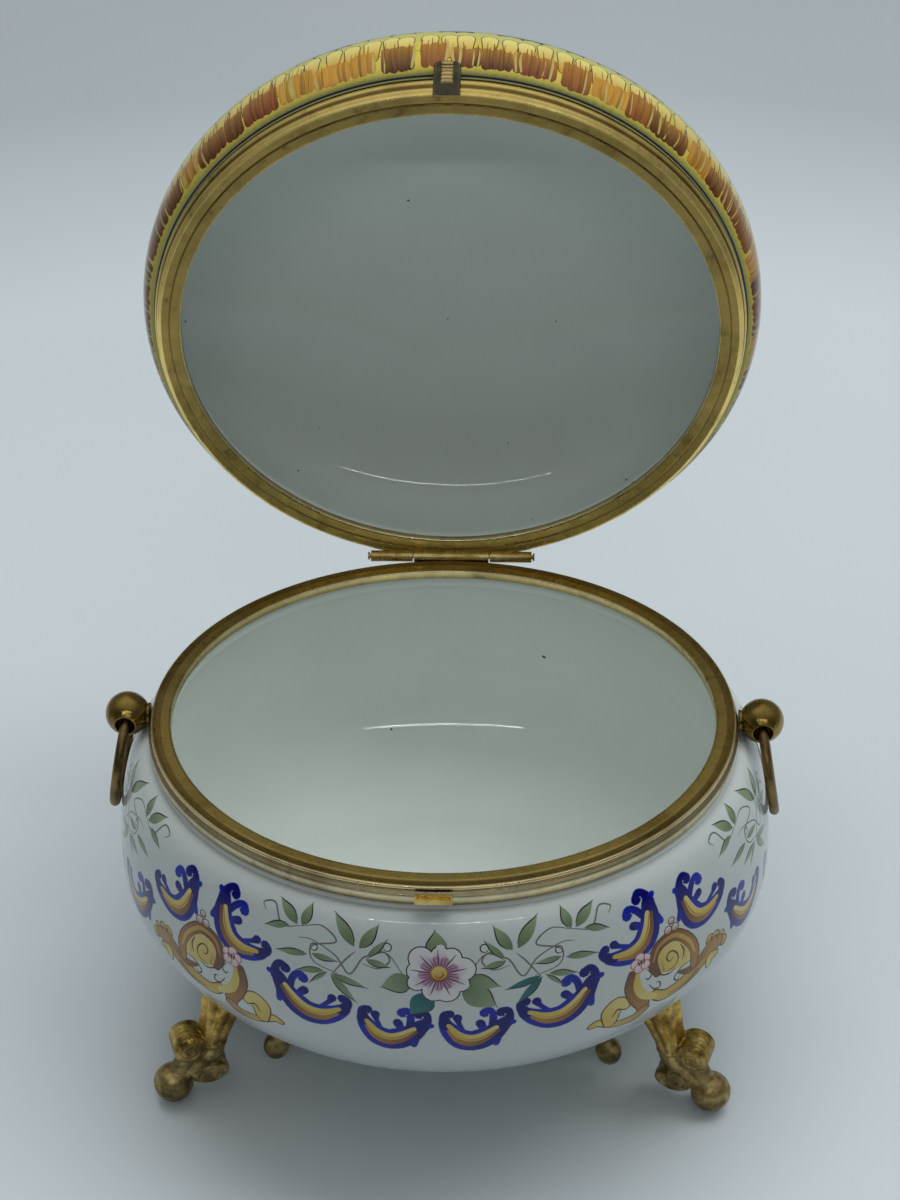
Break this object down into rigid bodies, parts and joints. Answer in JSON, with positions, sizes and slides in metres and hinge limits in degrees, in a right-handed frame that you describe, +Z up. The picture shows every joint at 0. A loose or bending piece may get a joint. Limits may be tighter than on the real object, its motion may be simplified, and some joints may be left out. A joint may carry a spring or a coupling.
{
  "type": "candy box",
  "caption": "oval porcelain candy box in gilt mounts on scroll feet, with a hinged dome lid, ball knobs with drop rings, and a painted flower and scroll band",
  "frame": {"origin": "under the middle of the whole box with its lid open, on the table", "axes": "+Z up, the box's front towards -Y, the knobs along X; the lid stands open 92.5 degrees at the back"},
  "size_m": [0.145, 0.1626, 0.1954],
  "materials": {
    "porcelain": "white gloss glaze with a painted band",
    "lid_porcelain": "gloss glaze, yellow ground with brown brush strokes, white inside",
    "gilt": "worn gilt brass, satin to bright",
    "dull_gilt": "dull brown gilt brass with toned hollows"
  },
  "bodies": {
    "box": {"bowl": "porcelain", "bowl_rim": "gilt", "catch": "gilt", "hinge_knuckle_middle": "gilt", "hinge_pin": "gilt", "foot_front_left": "dull_gilt", "foot_front_right": "dull_gilt", "foot_back_left": "dull_gilt", "foot_back_right": "dull_gilt", "knob_left": "gilt", "knob_right": "gilt"},
    "lid": {"lid": "lid_porcelain", "lid_rim": "gilt", "clasp": "gilt", "hinge_knuckle_left": "gilt", "hinge_knuckle_right": "gilt"},
    "ring_left": {"ring_left": "dull_gilt"},
    "ring_right": {"ring_right": "dull_gilt"}
  },
  "joints": [
    {"name": "lid_hinge", "type": "hinge", "parent": "box", "child": "lid", "pos_m": [0, 0.03803, 0.07855], "axis": [1, 0, 0], "range_deg": [0, 92.5]},
    {"name": "ring_left_swing", "type": "hinge", "parent": "box", "child": "ring_left", "pos_m": [-0.06732, -0.01777, 0.0761], "axis": [0, 1, 0], "range_deg": [0, 150]},
    {"name": "ring_right_swing", "type": "hinge", "parent": "box", "child": "ring_right", "pos_m": [0.06732, -0.01777, 0.0761], "axis": [0, -1, 0], "range_deg": [0, 150]}
  ]
}
